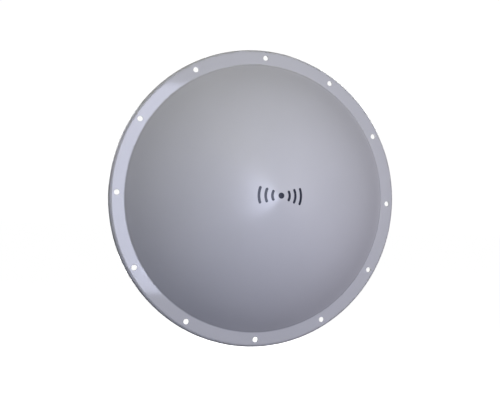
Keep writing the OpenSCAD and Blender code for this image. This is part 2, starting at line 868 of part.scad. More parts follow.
module mast_bracket() {
    plate_h = ear_h - fold_r;
    color([0.6, 0.61, 0.62])
        difference() {
            union() {
                translate([-bracket_x, bracket_front_y, -plate_h])
                    cube([2 * bracket_x, plate_t, 2 * plate_h]);
                intersection() {
                    side_plate(-ear_w / 2, ear_w)
                        rotate(90) polygon(folded(ear_h, -bracket_back_y, 90, plate_t));
                    translate([0, 0, -ear_h - 1]) linear_extrude(2 * ear_h + 2) bracket_outline();
                }
            }
            for (x = [-clamp_bolt_x, clamp_bolt_x], z = [-clamp_z, clamp_z])
                translate([x, 0, z]) facing(bracket_back_y + 1)
                    cylinder(h = plate_t + 2, r = m8[0] + clamp_bolt_slack, $fn = smooth);
            facing(bracket_back_y + 1) cylinder(h = plate_t + 2, r = m6[0] + slack, $fn = smooth);
        }
}

module each_clamp() {
    for (z = [-clamp_z, clamp_z]) translate([0, 0, z - clamp_half_h]) children();
}

module clamp_bolt_holes() {
    for (x = [-clamp_bolt_x, clamp_bolt_x], z = [-clamp_z, clamp_z])
        translate([x, 60, z]) facing(0) cylinder(h = 120, r = m8[0] + clamp_bolt_slack, $fn = smooth);
}

// Cast halves that sit between the bracket and the mast.
module mast_saddles() {
    color([0.64, 0.65, 0.66])
        difference() {
            each_clamp() linear_extrude(2 * clamp_half_h) difference() {
                polygon([[-clamp_x, -clamp_gap], [-clamp_x, -clamp_gap - 12],
                         [5 - clamp_x, bracket_back_y], [clamp_x - 5, bracket_back_y],
                         [clamp_x, -clamp_gap - 12], [clamp_x, -clamp_gap]]);
                circle(r = mast_d / 2, $fn = fine);
            }
            clamp_bolt_holes();
        }
}

module mast_straps() {
    color([0.64, 0.65, 0.66])
        difference() {
            each_clamp() linear_extrude(2 * clamp_half_h) difference() {
                union() {
                    translate([-clamp_x, clamp_gap]) square([2 * clamp_x, strap_pad_t]);
                    intersection() {
                        circle(r = mast_d / 2 + strap_wall, $fn = fine);
                        translate([-mast_d, clamp_gap]) square([2 * mast_d, mast_d]);
                    }
                }
                circle(r = mast_d / 2, $fn = fine);
            }
            clamp_bolt_holes();
        }
}

module mast_clamp_bolts() {
    color([0.7, 0.7, 0.72])
        for (x = [-clamp_bolt_x, clamp_bolt_x], z = [-clamp_z, clamp_z])
            translate([x, 0, z]) facing(bracket_front_y) hex_bolt(m8, 76);
}

module mast_clamp_nuts() {
    color([0.7, 0.7, 0.72])
        for (x = [-clamp_bolt_x, clamp_bolt_x], z = [-clamp_z, clamp_z])
            translate([x, clamp_gap + strap_pad_t, z]) rotate([-90, 0, 0]) nut_on_washer(m8, 6.5);
}

module swivel_bolts() {
    color([0.7, 0.7, 0.72])
        above_and_below() translate([0, swivel_y, yoke_h + slack]) {
            tube(10, m10[0], washer_t);
            translate([0, 0, washer_t]) hex_bolt(m10, 22);
        }
}

module swivel_nuts() {
    color([0.7, 0.7, 0.72])
        above_and_below() translate([0, swivel_y, ear_h - plate_t]) rotate([180, 0, 0]) hex_nut(m10, 8);
}

module swivel_lock_bolts() {
    color([0.7, 0.7, 0.72])
        above_and_below() for (s = [-1, 1]) translate([s * swivel_slot_r, swivel_y, yoke_h + slack]) {
            tube(9, m8[0], washer_t);
            translate([0, 0, washer_t]) hex_bolt(m8, 19);
        }
}

module swivel_lock_nuts() {
    color([0.7, 0.7, 0.72])
        above_and_below() for (s = [-1, 1])
            translate([s * swivel_slot_r, swivel_y, ear_h - plate_t]) rotate([180, 0, 0]) hex_nut(m8, 6.5);
}

module ground_screw() {
    color([0.78, 0.7, 0.42])
        facing(bracket_front_y) {
            tube(7, m6[0], 1.2);
            translate([0, 0, 1.2]) hex_bolt(m6, 10);
        }
}

radome_shell();
emblem();
rim_gasket();
reflector();
hub_ring();
hub_bolts();
hub_nuts();
cradle();
feed_collar();
collar_screws();
feed_seal();
feed_clamp();
feed_clamp_screw();
feed_tube();
feed_cone();
splash_plate();
splash_plate_screw();
transducer_body();
transducer_cap();
transducer_screws();
connector_a();
connector_b();
dust_cap_a();
dust_cap_b();
yoke();
tilt_pivot_bolts();
tilt_pivot_nuts();
tilt_spacers();
tilt_lock_bolts();
tilt_lock_nuts();
tilt_lock_washers();
tilt_pointer();
jack_pivot_bolt();
jack_pivot_nut();
jack_spacer();
jack_rod();
jack_nuts();
mast_bracket();
mast_saddles();
mast_straps();
mast_clamp_bolts();
mast_clamp_nuts();
swivel_bolts();
swivel_nuts();
swivel_lock_bolts();
swivel_lock_nuts();
ground_screw();
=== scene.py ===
"""Looks of the radome-covered dish antenna: finer turned shapes, edges, materials and a studio."""
import json
import math

import bmesh
import bpy
from mathutils import Matrix, Vector


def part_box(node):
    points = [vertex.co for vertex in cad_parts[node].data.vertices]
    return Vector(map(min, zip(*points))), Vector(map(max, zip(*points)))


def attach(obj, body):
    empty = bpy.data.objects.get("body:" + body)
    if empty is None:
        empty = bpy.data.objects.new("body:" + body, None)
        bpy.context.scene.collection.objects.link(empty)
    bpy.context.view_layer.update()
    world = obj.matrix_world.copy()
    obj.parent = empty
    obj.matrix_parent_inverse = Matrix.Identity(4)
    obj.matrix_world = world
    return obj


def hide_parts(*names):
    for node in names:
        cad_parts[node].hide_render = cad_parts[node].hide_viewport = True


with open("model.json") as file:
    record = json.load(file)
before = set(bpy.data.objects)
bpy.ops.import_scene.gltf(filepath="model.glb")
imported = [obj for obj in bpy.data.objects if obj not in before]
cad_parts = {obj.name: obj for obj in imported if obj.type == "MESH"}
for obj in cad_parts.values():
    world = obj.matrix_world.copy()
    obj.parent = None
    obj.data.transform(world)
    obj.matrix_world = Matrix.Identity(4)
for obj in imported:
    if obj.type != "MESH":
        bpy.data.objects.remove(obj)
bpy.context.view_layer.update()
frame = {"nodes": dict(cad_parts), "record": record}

record = frame["record"]
nodes = frame["nodes"]
scene = bpy.context.scene

# The rim's holes fix the plane and the middle of the antenna's front. Metres throughout.
rim = next(mount for mount in record["mounts"] if mount["name"] == "rim_holes")
HOLES = rim["dims"]["count"]
HOLE_RING_R = rim["dims"]["pcd_mm"] / 2000
HOLE_R = rim["dims"]["hole_r_mm"] / 1000
FACE = Vector(rim["pos_m"])              # middle of the flange's front face
RADOME_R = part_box("radome_shell")[1].x
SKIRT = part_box("radome_shell")[1].y - FACE.y

# Camera: where it stands, seen from the middle of the flange, and what it looks at.
VIEW_YAW = math.radians(17.256)          # to the left of the antenna's axis
VIEW_PITCH = math.radians(-1.168)        # below it
VIEW_ROLL = math.radians(2.156)
VIEW_DISTANCE = 1.3234
VIEW_AIM = Vector((-0.02379, 0.0, -0.0048))
VIEW_LENS = 43.58                        # millimetres
SENSOR_W = 36                            # millimetres

SAME_POINT = 1e-6                        # metres between two points of an outline
ON_AXIS = 1e-7                           # a smaller radius is a point on the axis
SLIVER = 0.00002                         # what is narrower is left over from a cut or a mesh
SHARP_ANGLE = math.radians(32)           # on the pieces that are made here


# Geometry ------------------------------------------------------------------------------------

def arc(centre, radius, start, end, steps):
    """Points on an arc, from one angle in degrees to another, both ends included."""
    points = []
    for i in range(steps + 1):
        a = math.radians(start + (end - start) * i / steps)
        points.append((centre[0] + radius * math.cos(a), centre[1] + radius * math.sin(a)))
    return points


def joined(*runs):
    """One outline from several runs of points, without the points that repeat."""
    outline = []
    for run in runs:
        for point in run:
            if not outline or math.dist(point, outline[-1]) > SAME_POINT:
                outline.append(point)
    return outline


def turned(bm, outline, segments, place=Matrix.Identity(4), closed=False):
    """A turned shape: outline is (radius, height) points, and the height runs along local z."""
    rings = []
    for radius, height in outline:
        if radius < ON_AXIS:
            rings.append([bm.verts.new(place @ Vector((0, 0, height)))])
            continue
        ring = []
        for k in range(segments):
            a = 2 * math.pi * k / segments
            corner = Vector((radius * math.cos(a), radius * math.sin(a), height))
            ring.append(bm.verts.new(place @ corner))
        rings.append(ring)
    pairs = list(zip(rings, rings[1:]))
    if closed:
        pairs.append((rings[-1], rings[0]))
    for a, b in pairs:
        for k in range(segments):
            n = (k + 1) % segments
            corners = [a[k % len(a)], a[n % len(a)], b[n % len(b)], b[k % len(b)]]
            unique = list(dict.fromkeys(corners))
            bm.faces.new(unique)


def new_piece(name, bm):
    bmesh.ops.recalc_face_normals(bm, faces=bm.faces)
    mesh = bpy.data.meshes.new(name)
    bm.to_mesh(mesh)
    bm.free()
    piece = bpy.data.objects.new(name, mesh)
    scene.collection.objects.link(piece)
    return piece


def applied(piece):
    """Replaces a piece's mesh by what its modifiers make of it."""
    depsgraph = bpy.context.evaluated_depsgraph_get()
    mesh = bpy.data.meshes.new_from_object(piece.evaluated_get(depsgraph))
    piece.modifiers.clear()
    piece.data = mesh


def without_slivers(piece):
    bm = bmesh.new()
    bm.from_mesh(piece.data)
    bmesh.ops.remove_doubles(bm, verts=bm.verts, dist=SLIVER)
    bmesh.ops.dissolve_degenerate(bm, dist=SLIVER, edges=bm.edges)
    bm.to_mesh(piece.data)
    bm.free()


def cut(piece, cutter):
    """Cuts the cutter's shape out of the piece, and removes the cutter."""
    boolean = piece.modifiers.new("holes", "BOOLEAN")
    boolean.operation = "DIFFERENCE"
    boolean.solver = "EXACT"
    boolean.object = cutter
    applied(piece)
    bpy.data.objects.remove(cutter)
    without_slivers(piece)


def smooth_with_sharp_edges(piece):
    for polygon in piece.data.polygons:
        polygon.use_smooth = True
    piece.data.set_sharp_from_angle(angle=SHARP_ANGLE)
    weighted = piece.modifiers.new("normals", "WEIGHTED_NORMAL")
    weighted.keep_sharp = True
    weighted.weight = 90


# Local z of the dish's own frame points forward, along -Y, from the flange's front face.
ON_FACE = Matrix.Translation(FACE) @ Matrix.Rotation(math.radians(90), 4, "X")


def hole_cutter(name, spots, front, back, flare):
    """Round cutters with flared ends, so that each hole they cut has rounded edges."""
    past = 0.002                         # how far a cutter reaches past each face
    flare_steps = 5
    segments = 40
    bm = bmesh.new()
    for x, y, radius in spots:
        wide = radius + flare
        outline = joined(
            [(0, front + past), (wide, front + past)],
            arc((wide, front - flare), flare, 90, 180, flare_steps),
            arc((wide, back + flare), flare, 180, 270, flare_steps),
            [(wide, back - past), (0, back - past)],
        )
        turned(bm, outline, segments, ON_FACE @ Matrix.Translation((x, y, 0)))
    return new_piece(name, bm)


def around(count, radius, start=90):
    """Places on a circle, as (x, y) pairs."""
    places = []
    for i in range(count):
        a = math.radians(start + 360 * i / count)
        places.append((radius * math.cos(a), radius * math.sin(a)))
    return places


# Radome --------------------------------------------------------------------------------------

SHELL_T = 0.003
FLANGE_W = 0.0325
CORNER_R = 0.008
FOOT_R = 0.004
DOME_H = 0.139                           # up to where its arcs would cross on the axis
TIP_R = 0.060
TIP_SLOPE = 9.0                          # degrees


def dome_run(offset, steps):
    """The dome's outline from its tip to the flange, moved outwards by offset."""
    tip_steps = 6
    foot_steps = 8
    dome_r = RADOME_R - FLANGE_W
    tip = math.radians(TIP_SLOPE)
    foot = 2 * math.atan(DOME_H / dome_r) - tip
    arc_r = dome_r / (math.sin(foot) - math.sin(tip))
    centre = (-arc_r * math.sin(tip), DOME_H - arc_r * math.cos(tip))
    tip_centre = (0, centre[1] + math.sqrt((arc_r - TIP_R) ** 2 - centre[0] ** 2))
    tip_end = math.degrees(math.atan2(tip_centre[1] - centre[1], -centre[0]))
    rise = FOOT_R - centre[1]
    foot_centre = (centre[0] + math.sqrt((arc_r + FOOT_R) ** 2 - rise ** 2), FOOT_R)
    foot_end = math.degrees(math.atan2(rise, foot_centre[0] - centre[0]))
    return joined(
        arc(tip_centre, TIP_R + offset, 90, tip_end, tip_steps),
        arc(centre, arc_r + offset, tip_end, foot_end, steps),
        arc(foot_centre, FOOT_R - offset, foot_end + 180, 270, foot_steps),
    )


def make_radome():
    """The moulded cover: dome, flange, outer corner and skirt, in one even thickness."""
    segments = 360
    dome_steps = 76
    dome_inside_steps = 34               # coarser, as no gloss shows there
    corner_steps = 10
    corner_inside_steps = 6
    edge_steps = 4
    edge_r = 0.0007
    hole_edge_r = 0.0008
    corner = (RADOME_R - CORNER_R, -CORNER_R)
    outside = RADOME_R - edge_r
    inside = RADOME_R - SHELL_T + edge_r
    outline = joined(
        dome_run(0, dome_steps),
        arc(corner, CORNER_R, 90, 0, corner_steps),
        arc((outside, edge_r - SKIRT), edge_r, 0, -90, edge_steps),
        arc((inside, edge_r - SKIRT), edge_r, 270, 180, edge_steps),
        arc(corner, CORNER_R - SHELL_T, 0, 90, corner_inside_steps),
        list(reversed(dome_run(-SHELL_T, dome_inside_steps))),
    )
    bm = bmesh.new()
    turned(bm, outline, segments, ON_FACE)
    radome = new_piece("radome_moulding", bm)
    spots = [(x, y, HOLE_R) for x, y in around(HOLES, HOLE_RING_R)]
    cut(radome, hole_cutter("radome_holes", spots, 0, -SHELL_T, hole_edge_r))
    smooth_with_sharp_edges(radome)
    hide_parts("radome_shell")
    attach(radome, "radome")
    return radome


# Reflector -----------------------------------------------------------------------------------

def make_reflector():
    """The spun bowl: flat middle, paraboloid, rim and turned-back lip, in one sheet."""
    segments = 300
    bowl_steps = 60
    blend_steps = 6
    lip_steps = 8
    lip_inside_steps = 6
    low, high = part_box("reflector")
    rim_f = FACE.y - low.y               # height of the rim's front face in the dish's frame
    rim_r = high.x
    sheet = 0.002
    focal = 0.188
    hub_r = 0.080                        # of the flat middle
    bowl_r = RADOME_R - FLANGE_W - 0.0025
    feed_hole_r = 0.0245
    blend_r = 0.005                      # between the bowl and its rim
    lip_r = 0.004
    lip_h = 0.008
    rim_hole_r = HOLE_R + 0.0015         # clears the radome's holes
    hub_holes = 4
    hub_hole_r = 0.0045
    hub_ring_r = 0.060
    hole_edge_r = 0.0003
    edge_a = math.degrees(math.atan(bowl_r / (2 * focal)))
    edge_f = rim_f - blend_r * (1 - math.cos(math.radians(edge_a)))

    def bowl(t):
        """The bowl's outline from the hub to the rim, t behind its front."""
        run = []
        for i in range(bowl_steps + 1):
            r = hub_r + (bowl_r - hub_r) * i / bowl_steps
            a = math.atan(r / (2 * focal))
            f = edge_f - (bowl_r ** 2 - r ** 2) / (4 * focal)
            run.append((r + t * math.sin(a), f - t * math.cos(a)))
        blend = (bowl_r + blend_r * math.sin(math.radians(edge_a)), rim_f - blend_r)
        return run + arc(blend, blend_r - t, 90 + edge_a, 90, blend_steps)

    hub_f = edge_f - (bowl_r ** 2 - hub_r ** 2) / (4 * focal)
    lip = (rim_r - lip_r, rim_f - lip_r)
    outline = joined(
        [(feed_hole_r, hub_f)],
        bowl(0),
        arc(lip, lip_r, 90, 0, lip_steps),
        [(rim_r, rim_f - lip_h), (rim_r - sheet, rim_f - lip_h)],
        arc(lip, lip_r - sheet, 0, 90, lip_inside_steps),
        list(reversed(bowl(sheet))),
        [(hub_r, hub_f - sheet), (feed_hole_r, hub_f - sheet)],
    )
    bm = bmesh.new()
    turned(bm, outline, segments, ON_FACE, closed=True)
    reflector = new_piece("reflector_bowl", bm)
    rim_spots = [(x, y, rim_hole_r) for x, y in around(HOLES, HOLE_RING_R)]
    cut(reflector, hole_cutter("rim_holes", rim_spots, rim_f, rim_f - sheet, hole_edge_r))
    hub_spots = [(x, y, hub_hole_r) for x, y in around(hub_holes, hub_ring_r, start=45)]
    cut(reflector, hole_cutter("hub_holes", hub_spots, hub_f, hub_f - sheet, hole_edge_r))
    smooth_with_sharp_edges(reflector)
    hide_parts("reflector")
    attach(reflector, "dish")
    return reflector


# Elevation rod -------------------------------------------------------------------------------

THREAD_PITCH = 0.0015
THREAD_DEPTH = 0.0009
THREAD_CREST = 0.2                       # widths of crest and flank, as shares of half a pitch
THREAD_FLANK = 0.65
RINGS_PER_PITCH = 8


def groove(turn):
    """0 on a thread's crest, 1 in its root, and a straight flank between them."""
    across = abs(2 * (turn % 1) - 1)
    return min(max((across - THREAD_CREST) / THREAD_FLANK, 0), 1)


def threaded(bm, start, end, crest_r, neck_r, place):
    """A shank along local z with a plain neck, a helical thread and a chamfered tip."""
    segments = 24
    neck_end = start + 0.0055
    lead_in = 0.002
    chamfer = 0.0008
    count = round((end - start) / THREAD_PITCH * RINGS_PER_PITCH)
    rings = []
    for i in range(count + 1):
        z = start + (end - start) * i / count
        lead = min(max((z - neck_end) / lead_in, 0), 1)
        tip_r = crest_r - chamfer + (end - z)
        ring = []
        for k in range(segments):
            turn = z / THREAD_PITCH - k / segments
            r = neck_r + (crest_r - THREAD_DEPTH * groove(turn) - neck_r) * lead
            r = min(r, tip_r)
            a = 2 * math.pi * k / segments
            ring.append(bm.verts.new(place @ Vector((r * math.cos(a), r * math.sin(a), z))))
        rings.append(ring)
    for a, b in zip(rings, rings[1:]):
        for k in range(segments):
            n = (k + 1) % segments
            bm.faces.new([a[k], a[n], b[n], b[k]])
    bm.faces.new(rings[0])
    bm.faces.new(rings[-1])


def make_jack_rod():
    """The elevation rod: a round eye, and a threaded shank that starts inside the eye's ring."""
    eye_segments = 72
    edge_steps = 4
    low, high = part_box("jack_rod")
    eye_r = (high.z - low.z) / 2
    half_w = (high.x - low.x) / 2
    hole_r = 0.0051
    edge = 0.0008
    shank_start = 0.0075
    crest_r = 0.00498
    neck_r = 0.0044
    pivot = Vector((low.x + half_w, low.y + eye_r, low.z + eye_r))
    at_pivot = Matrix.Translation(pivot)
    across = at_pivot @ Matrix.Rotation(math.radians(90), 4, "Y")
    along = at_pivot @ Matrix.Rotation(math.radians(-90), 4, "X")
    outline = joined(
        arc((eye_r - edge, half_w - edge), edge, 90, 0, edge_steps),
        arc((eye_r - edge, edge - half_w), edge, 0, -90, edge_steps),
        arc((hole_r + edge, edge - half_w), edge, 270, 180, edge_steps),
        arc((hole_r + edge, half_w - edge), edge, 180, 90, edge_steps),
    )
    bm = bmesh.new()
    turned(bm, outline, eye_segments, across, closed=True)
    threaded(bm, shank_start, high.y - pivot.y, crest_r, neck_r, along)
    rod = new_piece("threaded_rod", bm)
    smooth_with_sharp_edges(rod)
    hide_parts("jack_rod")
    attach(rod, "rod")
    return rod


# Materials -----------------------------------------------------------------------------------

class Look:
    """A principled material and the few texture nodes that the looks below are made of."""

    def __init__(self, name, **values):
        self.material = bpy.data.materials.new(name)
        self.material.use_nodes = True
        self.tree = self.material.node_tree
        self.shader = self.tree.nodes["Principled BSDF"]
        self.where = self.add("ShaderNodeTexCoord").outputs["Object"]
        for socket, value in values.items():
            self.shader.inputs[socket.replace("_", " ")].default_value = value

    def add(self, kind):
        return self.tree.nodes.new(kind)

    def link(self, output, target):
        self.tree.links.new(output, target)

    def noise(self, scale, detail, roughness=0.5):
        node = self.add("ShaderNodeTexNoise")
        node.inputs["Scale"].default_value = scale
        node.inputs["Detail"].default_value = detail
        node.inputs["Roughness"].default_value = roughness
        self.link(self.where, node.inputs["Vector"])
        return node.outputs["Fac"]

    def cells(self, scale):
        """Patches, each with a colour of its own."""
        node = self.add("ShaderNodeTexVoronoi")
        node.inputs["Scale"].default_value = scale
        self.link(self.where, node.inputs["Vector"])
        return node.outputs["Color"]

    def rings(self, spacing, distortion):
        """Circles about the antenna's axis, for turning marks, this far apart in metres."""
        node = self.add("ShaderNodeTexWave")
        node.wave_type = "RINGS"
        node.rings_direction = "Y"
        node.inputs["Scale"].default_value = 2 * math.pi / (20 * spacing)
        node.inputs["Distortion"].default_value = distortion
        self.link(self.where, node.inputs["Vector"])
        return node.outputs["Fac"]

    def between(self, factor, low, high, start=0.3, end=0.7):
        """A number that runs from low to high as the factor goes from start to end."""
        node = self.add("ShaderNodeMapRange")
        node.inputs["From Min"].default_value = start
        node.inputs["From Max"].default_value = end
        node.inputs["To Min"].default_value = low
        node.inputs["To Max"].default_value = high
        self.link(factor, node.inputs["Value"])
        return node.outputs["Result"]

    def mixed(self, factor, a, b):
        """A colour between a and b. Each may be a colour or another node's output."""
        node = self.add("ShaderNodeMix")
        node.data_type = "RGBA"
        self.link(factor, node.inputs["Factor"])
        for value, socket in ((a, node.inputs[6]), (b, node.inputs[7])):
            if isinstance(value, bpy.types.NodeSocket):
                self.link(value, socket)
            else:
                socket.default_value = (*value, 1)
        return node.outputs[2]

    def from_axis(self):
        """Distance from the antenna's axis, in metres."""
        apart = self.add("ShaderNodeVectorMath")
        apart.operation = "MULTIPLY"
        apart.inputs[1].default_value = (1, 0, 1)
        self.link(self.where, apart.inputs[0])
        length = self.add("ShaderNodeVectorMath")
        length.operation = "LENGTH"
        self.link(apart.outputs["Vector"], length.inputs[0])
        return length.outputs["Value"]

    def blended(self, factor, a, b):
        """A number between two others."""
        node = self.add("ShaderNodeMix")
        self.link(factor, node.inputs["Factor"])
        self.link(a, node.inputs[2])
        self.link(b, node.inputs[3])
        return node.outputs[0]

    def edges(self, distance):
        """1 on outside edges, 0 elsewhere, for wear."""
        node = self.add("ShaderNodeAmbientOcclusion")
        node.inside = True
        node.samples = 6
        node.inputs["Distance"].default_value = distance
        return self.between(node.outputs["AO"], 1, 0, 0.35, 0.8)

    def colour(self, value):
        self.link(value, self.shader.inputs["Base Color"])

    def roughness(self, value):
        self.link(value, self.shader.inputs["Roughness"])

    def bump(self, *layers):
        """Stacks bumps, each a (height, depth in metres) pair."""
        normal = None
        for height, depth in layers:
            node = self.add("ShaderNodeBump")
            node.inputs["Strength"].default_value = 1
            node.inputs["Distance"].default_value = depth
            self.link(height, node.inputs["Height"])
            if normal:
                self.link(normal, node.inputs["Normal"])
            normal = node.outputs["Normal"]
        self.link(normal, self.shader.inputs["Normal"])


RADOME_GREY = (0.560, 0.560, 0.575)
PATCH_SHADE = 0.975                      # of the slightly darker patches
# Each roughness varies a little about its middle. The dome's stays above 0.28, because Cycles'
# denoiser treats smoother surfaces otherwise, and a mixture of both shows as dark blotches.
DOME_ROUGHNESS = 0.30
DOME_VARIES = 0.015
FLANGE_ROUGHNESS = 0.07
FLANGE_VARIES = 0.01


def radome_plastic():
    """Formed plastic: the clamped flange keeps its gloss, and the drawn dome is more satin."""
    look = Look("radome_plastic", IOR=1.5)
    darker = tuple(c * PATCH_SHADE for c in RADOME_GREY)
    look.colour(look.mixed(look.between(look.noise(9, 4), 0, 1), darker, RADOME_GREY))
    foot_r = RADOME_R - FLANGE_W
    on_dome = look.between(look.from_axis(), 1, 0, foot_r - FOOT_R, foot_r)
    patches = look.noise(35, 4)
    dome = look.between(patches, DOME_ROUGHNESS - DOME_VARIES, DOME_ROUGHNESS + DOME_VARIES)
    low, high = FLANGE_ROUGHNESS - FLANGE_VARIES, FLANGE_ROUGHNESS + FLANGE_VARIES
    flange = look.between(patches, low, high)
    look.roughness(look.blended(on_dome, flange, dome))
    look.bump((look.noise(55, 2), 0.00002), (look.noise(420, 3), 0.000006))
    return look.material


def mark_film():
    look = Look("mark_film", IOR=1.48)
    look.colour(look.mixed(look.noise(60, 3), (0.020, 0.022, 0.036), (0.030, 0.033, 0.050)))
    look.roughness(look.between(look.noise(200, 3), 0.32, 0.42))
    look.bump((look.noise(900, 2), 0.00001))
    return look.material


def reflector_paint():
    look = Look("reflector_paint", IOR=1.5)
    patches = look.between(look.noise(5, 5), 0, 1)
    base = look.mixed(patches, (0.60, 0.61, 0.61), (0.66, 0.665, 0.66))
    dust = look.between(look.noise(16, 6), 0, 0.35, 0.55, 0.8)
    look.colour(look.mixed(dust, base, (0.50, 0.50, 0.48)))
    look.roughness(look.between(look.noise(40, 4), 0.36, 0.46))
    look.bump((look.rings(0.009, 0.6), 0.00004), (look.noise(700, 3), 0.00005))
    return look.material


def mount_steel():
    """Galvanised steel, with its spangle."""
    look = Look("mount_steel", Metallic=0.6)
    spangle = look.cells(75)
    bright = look.between(spangle, 0, 1, 0.1, 0.9)
    base = look.mixed(bright, (0.41, 0.42, 0.43), (0.53, 0.535, 0.54))
    stains = look.between(look.noise(14, 5), 0, 0.4, 0.5, 0.8)
    stained = look.mixed(stains, base, (0.60, 0.60, 0.59))
    look.colour(look.mixed(look.edges(0.0012), stained, (0.64, 0.65, 0.66)))
    look.roughness(look.between(spangle, 0.42, 0.56, 0.1, 0.9))
    look.bump((look.noise(120, 3), 0.00012), (look.noise(900, 2), 0.00003))
    return look.material


def cast_aluminium():
    look = Look("cast_aluminium", Metallic=0.75)
    base = look.mixed(look.noise(30, 5), (0.50, 0.505, 0.51), (0.62, 0.625, 0.63))
    look.colour(look.mixed(look.edges(0.0015), base, (0.74, 0.745, 0.75)))
    look.roughness(look.between(look.noise(180, 4), 0.45, 0.62))
    look.bump((look.noise(480, 4, 0.7), 0.00022), (look.noise(60, 2), 0.0002))
    return look.material


def machined_aluminium():
    look = Look("machined_aluminium", Metallic=0.8)
    look.colour(look.mixed(look.noise(40, 4), (0.62, 0.63, 0.635), (0.72, 0.725, 0.73)))
    look.roughness(look.between(look.noise(90, 4), 0.36, 0.46))
    look.bump((look.rings(0.0009, 0.4), 0.00002), (look.noise(600, 2), 0.00001))
    return look.material


def stainless_steel():
    look = Look("stainless_steel", Metallic=0.85)
    look.colour(look.mixed(look.noise(120, 3), (0.54, 0.54, 0.54), (0.64, 0.64, 0.635)))
    look.roughness(look.between(look.noise(260, 3), 0.34, 0.46))
    look.bump((look.noise(600, 2), 0.00001))
    return look.material


def gasket_rubber():
    look = Look("gasket_rubber", IOR=1.48)
    look.colour(look.mixed(look.noise(80, 5), (0.010, 0.010, 0.010), (0.022, 0.022, 0.021)))
    look.roughness(look.between(look.noise(150, 3), 0.62, 0.8))
    look.bump((look.noise(1200, 3), 0.00004))
    return look.material


def feed_plastic():
    look = Look("feed_plastic", IOR=1.42, Subsurface_Weight=0.12, Subsurface_Scale=0.004)
    look.colour(look.mixed(look.noise(30, 4), (0.80, 0.80, 0.77), (0.86, 0.86, 0.84)))
    look.roughness(look.between(look.noise(120, 3), 0.38, 0.5))
    look.bump((look.rings(0.0012, 0.3), 0.00003))
    return look.material


def spacer_plastic():
    look = Look("spacer_plastic", IOR=1.5)
    look.colour(look.mixed(look.noise(90, 4), (0.72, 0.70, 0.62), (0.80, 0.78, 0.72)))
    look.roughness(look.between(look.noise(150, 3), 0.42, 0.55))
    look.bump((look.noise(700, 3), 0.00003))
    return look.material


def socket_brass():
    look = Look("socket_brass", Metallic=1.0)
    look.colour(look.mixed(look.noise(90, 4), (0.60, 0.54, 0.40), (0.72, 0.68, 0.56)))
    look.roughness(look.between(look.noise(200, 3), 0.22, 0.34))
    look.bump((look.noise(800, 2), 0.00002))
    return look.material


def cap_rubber():
    look = Look("cap_rubber", IOR=1.48)
    look.colour(look.mixed(look.noise(100, 4), (0.014, 0.014, 0.015), (0.028, 0.028, 0.028)))
    look.roughness(look.between(look.noise(180, 3), 0.5, 0.66))
    look.bump((look.noise(1500, 3), 0.00004))
    return look.material


def pointer_paint():
    look = Look("pointer_paint", IOR=1.5)
    look.colour(look.mixed(look.edges(0.0006), (0.55, 0.045, 0.02), (0.45, 0.42, 0.40)))
    look.roughness(look.between(look.noise(300, 3), 0.35, 0.5))
    look.bump((look.noise(900, 3), 0.00003))
    return look.material


# Each is named as the record's material slot that it is for.
LOOKS = (
    radome_plastic, mark_film, reflector_paint, mount_steel, cast_aluminium, machined_aluminium,
    stainless_steel, gasket_rubber, feed_plastic, spacer_plastic, socket_brass, cap_rubber,
    pointer_paint,
)


def dress(piece, material):
    piece.data.materials.clear()
    piece.data.materials.append(material)


def round_edges(piece, width):
    """Gives a CAD node small rounded edges, as modifiers: its own mesh stays as it is."""
    weld = piece.modifiers.new("weld", "WELD")
    weld.merge_threshold = SLIVER
    flat = piece.modifiers.new("flat", "DECIMATE")
    flat.decimate_type = "DISSOLVE"
    flat.angle_limit = math.radians(0.6)
    bevel = piece.modifiers.new("edges", "BEVEL")
    bevel.width = width
    bevel.segments = 2
    bevel.limit_method = "ANGLE"
    bevel.angle_limit = math.radians(34)
    bevel.use_clamp_overlap = True
    even = piece.modifiers.new("even", "WEIGHTED_NORMAL")
    even.mode = "FACE_AREA"
    even.weight = 100
    even.thresh = 0.05
    even.keep_sharp = False


EDGE_WIDTHS = {
    "mast_saddles": 0.0012,
    "mast_straps": 0.001,
    "cradle": 0.0006,
    "yoke": 0.0006,
    "mast_bracket": 0.0006,
    "transducer_body": 0.0006,
    "feed_clamp": 0.0006,
    "transducer_cap": 0.0005,
    "feed_collar": 0.0005,
    "hub_ring": 0.0004,
    "feed_cone": 0.0004,
    "dust_cap_a": 0.00035,
    "dust_cap_b": 0.00035,
    "splash_plate": 0.0003,
}
SMALL_EDGE = 0.0002                      # on the rest, which are fasteners, rings and the like


# Studio --------------------------------------------------------------------------------------

def make_camera():
    """The photograph's view: heading points from the middle of the flange to the camera."""
    heading = Vector((
        -math.sin(VIEW_YAW) * math.cos(VIEW_PITCH),
        -math.cos(VIEW_YAW) * math.cos(VIEW_PITCH),
        math.sin(VIEW_PITCH),
    ))
    eye = FACE + VIEW_DISTANCE * heading
    forward = (FACE + VIEW_AIM - eye).normalized()
    right = forward.cross(Vector((0, 0, 1))).normalized()
    up = right.cross(forward)
    turn = Matrix.Rotation(-VIEW_ROLL, 3, forward)
    axes = Matrix((turn @ right, turn @ up, -forward)).transposed()
    data = bpy.data.cameras.new("camera")
    data.lens = VIEW_LENS
    data.sensor_width = SENSOR_W
    data.clip_start = 0.02
    camera = bpy.data.objects.new("camera", data)
    camera.matrix_world = Matrix.Translation(eye) @ axes.to_4x4()
    scene.collection.objects.link(camera)
    scene.camera = camera


# The round softboxes stand on a sphere about the dome's tip. Each has its azimuth to the right of
# straight ahead, elevation, colour and power. They only add diffuse light, so that the dome
# doesn't mirror them.
SOFTBOX_D = 0.8
SOFTBOX_AWAY = 1.3
SOFTBOXES = {
    "upper_left": (-20, 42, (1.0, 0.96, 0.66), 4.2),
    "ahead": (10, 10, (0.74, 0.77, 1.0), 4.7),
    "right": (40, 10, (1.0, 0.97, 0.94), 2.7),
    "low_right": (70, -20, (0.98, 0.89, 1.0), 2.1),
}
